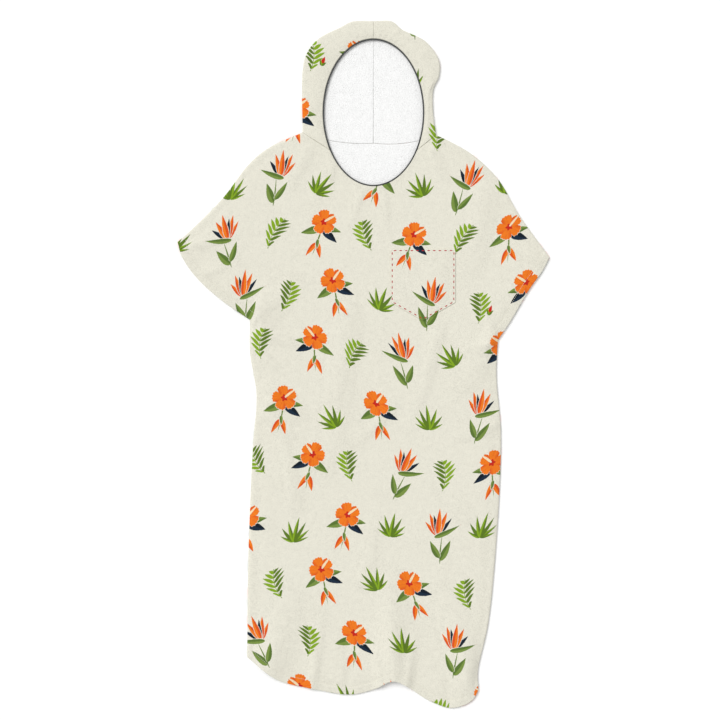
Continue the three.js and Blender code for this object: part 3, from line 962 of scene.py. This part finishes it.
def makeFront():
    leftIn, leftOut, _ = neckEnds(-1, cloth["seamGap"])
    rightIn, rightOut, _ = neckEnds(1, cloth["seamGap"])
    arcSteps, settle = panelSteps["openingArc"], panelEdges["frontSettle"]
    arc = openingPoint(np.linspace(180 + face["seamAngle"], 360 - face["seamAngle"], arcSteps)[1:-1])
    neckline = np.vstack([leftOut, leftIn, arc, rightIn, rightOut])
    plan, atNeck, atCuff = bodyPlan(neckline, "front", [1, arcSteps])
    distances = edgeDistances(plan, atNeck, atCuff)
    x, y, fromTop, fromHem = plan[..., 0], plan[..., 1], distances["top"], distances["hem"]
    overNeck = atNeck * (1 - ease(fromTop, 0, 2 * settle))
    topFade = 1 - (1 - atNeck) * (1 - ease(fromTop, 0, settle))
    seamFade = ease(distances["side"], 0, settle) * topFade
    resting = frontEdgeHeight + cloth["loft"] * seamFade * ease(distances["foot"], 0, settle)
    small = foldLift(x, y, creases) * ease(fromTop, 0, 30) + unevenness(x, y) * (1 - overNeck)
    height = resting + (hoodFrontHeight - resting) * overNeck + foldLift(x, y, folds) * seamFade
    height = height + small * ease(distances["side"], *panelEdges["creaseFade"])
    height = height + pucker(x, y, distances["seam"], fromHem) + tapeGathers(x, y, distances["neck"])
    height = np.maximum(height, frontEdgeHeight)
    # the turned hem is thicker, and its stitches sink in
    hemWidth, (grooveDepth, grooveWidth) = cloth["hemWidth"], cloth["stitchGroove"]
    hem = cloth["hemThicker"] * (1 - ease(fromHem, hemWidth - 1, hemWidth + 2.5))
    hem = hem - ridge(fromHem, grooveDepth, hemWidth, grooveWidth)
    outer = withHeight(plan, height + halfCloth - roundedEdges(distances, panelEdges["frontOuter"]) + hem)
    inner = withHeight(plan, height - halfCloth + roundedEdges(distances, panelEdges["frontInner"]))
    outer[..., 2] = np.maximum(outer[..., 2], inner[..., 2] + cloth["thinnest"])
    return clothShell("frontCloth", "front_panel", outer, inner, plan, turned=fromHem < hemWidth + 1)


def backNeckline():
    # from one side of the hood's back to the other, bowed towards the middle
    share = np.linspace(0, 1, neckBack["steps"])
    halves = []
    for side in (-1, 1):
        _, edge, turn = neckEnds(side, cloth["backSeamGap"])
        seamY = neckBack["seamY"] - cloth["backSeamGap"]
        y = turn[1] + (seamY - turn[1]) * share - neckBack["bow"] * 4 * share * (1 - share)
        halves.append(np.vstack([edge, np.stack([turn[0] * (1 - share), y], axis=-1)]))
    return np.vstack([halves[0], halves[1][::-1][1:]])


def makeBack():
    neckBreaks = [1, neckBack["steps"], 2 * neckBack["steps"] - 1]
    plan, atNeck, atCuff = bodyPlan(backNeckline(), "back", neckBreaks)
    distances = edgeDistances(plan, atNeck, atCuff)
    fromHem, (grooveDepth, grooveWidth) = distances["hem"], panelEdges["backGroove"]
    groove = ridge(fromHem, grooveDepth, cloth["hemWidth"], grooveWidth)
    outer = withHeight(plan, roundedEdges(distances, panelEdges["backOuter"]) + groove)
    inner = withHeight(plan, cloth["thickness"] - roundedEdges(distances, panelEdges["backInner"]))
    inner[..., 2] = np.maximum(inner[..., 2], outer[..., 2] + cloth["thinnest"])
    printX, printY = panelEdges["backPrint"]
    printed = np.stack([printX - plan[..., 0], plan[..., 1] + printY], axis=-1)
    return clothShell("backCloth", "back_panel", outer, inner, printed, flip=True,
                      turned=fromHem < cloth["hemWidth"] + 1)


# pocket, tape and stitches

pocket = {
    "middleX": 99, "topY": 232, "halfWidth": 65, "sideHeight": 107, "footDrop": 37,
    "thickness": 1.8, "lift": 0.35,
    "stitchInset": 3.4, "stitchGroove": (0.55, 0.9),
    "bulge": (0.9, 6, 40),  # height, and how far from the edge it starts and ends
    "edge": {"edge": (1.2, 1.4)},
    "fineSteps": np.array([0, 0.3, 0.9, 1.8, 2.8, 3.4, 4.0, 5.2, 7, 10]), "evenSteps": 34, "meanHeight": 125,
}


def makePocket():
    def steps(length):
        fine = pocket["fineSteps"] / length
        return np.unique(np.concatenate([fine, 1 - fine, np.linspace(0.1, 0.9, pocket["evenSteps"])]))

    across = np.unique(np.append(steps(2 * pocket["halfWidth"]) * 2 - 1, 0.0))
    a, d = np.meshgrid(across, steps(pocket["meanHeight"]))
    height = pocket["sideHeight"] + pocket["footDrop"] * (1 - np.abs(a))
    x = pocket["middleX"] + a * pocket["halfWidth"]
    y = pocket["topY"] - height * d
    slope = math.cos(math.atan(pocket["footDrop"] / pocket["halfWidth"]))
    fromSide = (1 - np.abs(a)) * pocket["halfWidth"]
    fromEdge = np.minimum.reduce([fromSide, height * d, height * (1 - d) * slope])
    seat = frontRest(x, y) + halfCloth + pocket["lift"]
    (bulge, bulgeFrom, bulgeTo), (grooveDepth, grooveWidth) = pocket["bulge"], pocket["stitchGroove"]
    top = seat + pocket["thickness"] + bulge * ease(fromEdge, bulgeFrom, bulgeTo)
    top = top - ridge(fromEdge, grooveDepth, pocket["stitchInset"], grooveWidth)
    top = top - roundedEdges({"edge": fromEdge}, pocket["edge"])
    plan = np.stack([x, y], axis=-1)
    return clothShell("pocketCloth", "pocket", withHeight(plan, top), withHeight(plan, seat), plan)


tape = {"sections": 220, "corners": 14, "squareness": 0.6, "halfHeight": 2.3, "waver": (0.12, 23)}


def makeTape():
    # the dark tape that binds the face opening
    turn = np.linspace(0, 2 * np.pi, tape["sections"], endpoint=False)[:, None]
    around = np.linspace(0, 2 * np.pi, tape["corners"], endpoint=False)[None]

    def squared(value):
        return np.sign(value) * np.abs(value) ** tape["squareness"]

    out = squared(np.cos(around)) * face["tapeWidth"] / 2
    waver, wavers = tape["waver"]
    x = (face["halfWidth"] + out) * np.cos(turn)
    y = face["middle"] + (face["halfHeight"] + out) * np.sin(turn)
    z = hoodFrontHeight + squared(np.sin(around)) * tape["halfHeight"] + waver * np.sin(turn * wavers)
    vertices = np.stack([x, y, z], axis=-1).reshape(-1, 3)
    spots = np.arange(len(vertices)).reshape(x.shape)
    ahead = np.roll(spots, -1, axis=0)
    faces = np.stack([spots, ahead, np.roll(ahead, -1, axis=1), np.roll(spots, -1, axis=1)], axis=-1)
    faces = faces.reshape(-1, 4).tolist()
    piece = meshFrom("faceTape", vertices, faces, [0] * len(faces), None, [tapeCloth])
    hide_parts("face_binding")
    return piece


pocketThread = {
    "step": 11.0, "length": 5.8, "width": 2.0, "height": 1.1,
    "rings": 17, "corners": 12, "twist": 0.16,
}
hemThread = {
    "step": 3.9, "length": 3.1, "width": 0.6, "height": 0.4,
    "rings": 7, "corners": 8, "twist": 0.0,
}
stitchForm = {"taper": 0.94, "twistTurn": 2.6, "stand": 0.3, "sink": 1.2}  # the ends go into the cloth


def insetLine(line, distance):
    # a line moved to its left, without the points that a tight bend would crowd
    along = unitWay(np.gradient(line, axis=0))
    moved = line + np.stack([-along[:, 1], along[:, 0]], axis=-1) * distance
    nearest = np.linalg.norm(moved[:, None] - line[None], axis=-1).min(axis=1)
    return moved[nearest > abs(distance) * 0.985]


def stitchPlaces(line, step, length):
    total = lengthsAlong(line)[-1]
    count = max(1, round(total / step))
    middles = (np.arange(count) + 0.5) / count
    reach = length / 2 / total
    return placeAlong(line, middles - reach), placeAlong(line, middles + reach)


def stitchMesh(size):
    # one short twisted thread: how far each point is forward, aside and up, and its closed faces
    share = np.sin(np.linspace(-1, 1, size["rings"]) * math.pi / 2)[:, None]
    turn = np.linspace(0, 2 * np.pi, size["corners"], endpoint=False)[None]
    plump = np.sqrt(1 - stitchForm["taper"] * share ** 6)
    ply = 1 + size["twist"] * np.cos(2 * (turn - share * stitchForm["twistTurn"]))
    aside = plump * ply * np.cos(turn) * size["width"] / 2
    raised = (stitchForm["stand"] - stitchForm["sink"] * share ** 4) * size["height"] / 2
    upward = plump * ply * np.sin(turn) * size["height"] / 2 + raised
    forward = share * size["length"] / 2 + 0 * turn
    spots = np.arange(forward.size).reshape(forward.shape)
    ahead = np.roll(spots, -1, axis=1)
    quads = np.stack([spots[:-1], ahead[:-1], ahead[1:], spots[1:]], axis=-1).reshape(-1, 4)
    return (forward, aside, upward), [*quads.tolist(), spots[0, ::-1].tolist(), spots[-1].tolist()]


def makeStitches(name, lines, size, material, onto, below=False):
    # threads laid on the cloth along the lines
    surface = BVHTree.FromObject(onto, bpy.context.evaluated_depsgraph_get())
    probeFrom, probeWay = (-0.1, 1) if below else (0.1, -1)
    (forward, aside, upward), shell = stitchMesh(size)
    vertices, faces = [], []
    for line in lines:
        for start, end in zip(*stitchPlaces(line, size["step"], size["length"])):
            middle = (start + end) / 2 * mm
            hit, normal, *_ = surface.ray_cast(Vector((*middle, probeFrom)), Vector((0, 0, probeWay)))
            if hit is None:
                continue
            along = Vector((*(end - start), 0))
            along = np.array((along - normal * along.dot(normal)).normalized())
            normal = np.array(normal)
            across = np.cross(normal, along)
            first = len(vertices) * forward.size
            faces.extend([first + corner for corner in face] for face in shell)
            vertices.append((np.array(hit) / mm + forward[..., None] * along + aside[..., None] * across
                             + upward[..., None] * normal).reshape(-1, 3))
    piece = meshFrom(name, np.concatenate(vertices), faces, [0] * len(faces), None, [material])
    return piece


def pocketStitchLines():
    # the corners of the foot come in a little less and a little more than the inset, to stay parallel
    inset, middle = pocket["stitchInset"], pocket["middleX"]
    reach = pocket["halfWidth"] - inset
    top, low = pocket["topY"] - inset, pocket["topY"] - pocket["sideHeight"]
    foot = low - pocket["footDrop"] + inset * 1.15
    low = low + inset * 0.45
    points = [(middle - reach, top), (middle + reach, top), (middle + reach, low), (middle, foot),
              (middle - reach, low), (middle - reach, top)]
    return [np.array([a, b], float) for a, b in zip(points, points[1:])]


backPiece = makeBack()
frontPiece = makeFront()
print("body panels made:", len(frontPiece.data.polygons), "faces in the front")
hoodLeftPiece = makeHoodHalf("hoodLeftCloth", -1, "hood_half_left")
hoodRightPiece = makeHoodHalf("hoodRightCloth", 1, "hood_half_right")
pocketPiece = makePocket()
tapePiece = makeTape()
print("hood, pocket and tape made")

pocketStitches = makeStitches("pocketStitches", pocketStitchLines(), pocketThread, redThread, pocketPiece)
hemWays = {"hem": 1, "leftCuff": 1, "rightCuff": -1}  # which side of the line the cloth is on
hemLines = [insetLine(smoothLine(cut[name]), way * cloth["hemWidth"]) for name, way in hemWays.items()]
hemStitches = makeStitches("hemStitches", hemLines, hemThread, paleThread, frontPiece)
backHemStitches = makeStitches("backHemStitches", hemLines, hemThread, paleThread, backPiece, below=True)
print("stitches made")


# floor, light and camera, in metres

studio = {
    "lens": 100,
    "camera": (-0.027, 0.010, 4.005),
    "sky": 0.60,
    "keyFrom": (-0.9, 0.8, 1.7),
    "keySpread": 34,  # degrees, as even as a very large softbox
    "key": 1.88,
    "floorReach": 8,
    "floorHeight": -0.0004,
    "floorShade": 0.98,
}


def makeFloor():
    reach, height, shade = studio["floorReach"], studio["floorHeight"], studio["floorShade"]
    corners = [(x * reach, y * reach, height) for x, y in ((-1, -1), (1, -1), (1, 1), (-1, 1))]
    mesh = bpy.data.meshes.new("floor")
    mesh.from_pydata(corners, [], [(0, 1, 2, 3)])
    floor = addObject("floor", mesh)
    material, _, shader = newMaterial("paleFloor", 0.9)
    shader.inputs["Base Color"].default_value = (shade, shade, shade, 1)
    mesh.materials.append(material)


def makeKeyLight():
    light = bpy.data.lights.new("softKey", "SUN")
    light.angle = math.radians(studio["keySpread"])
    light.energy = studio["key"]
    lamp = addObject("softKey", light)
    lamp.location = studio["keyFrom"]
    lamp.rotation_euler = Vector(studio["keyFrom"]).to_track_quat("Z", "Y").to_euler()


def makeSky():
    world = bpy.data.worlds.new("studio")
    bpy.context.scene.world = world
    world.use_nodes = True
    background = world.node_tree.nodes["Background"].inputs
    background["Color"].default_value = (1, 1, 1, 1)
    background["Strength"].default_value = studio["sky"]
    bpy.context.scene.view_settings.view_transform = "Standard"


def makeCamera():
    lens = bpy.data.cameras.new("camera")
    lens.lens = studio["lens"]
    camera = addObject("camera", lens)
    camera.location = studio["camera"]
    bpy.context.scene.camera = camera


makeFloor()
makeKeyLight()
makeSky()
makeCamera()
print("floor, light and camera set")
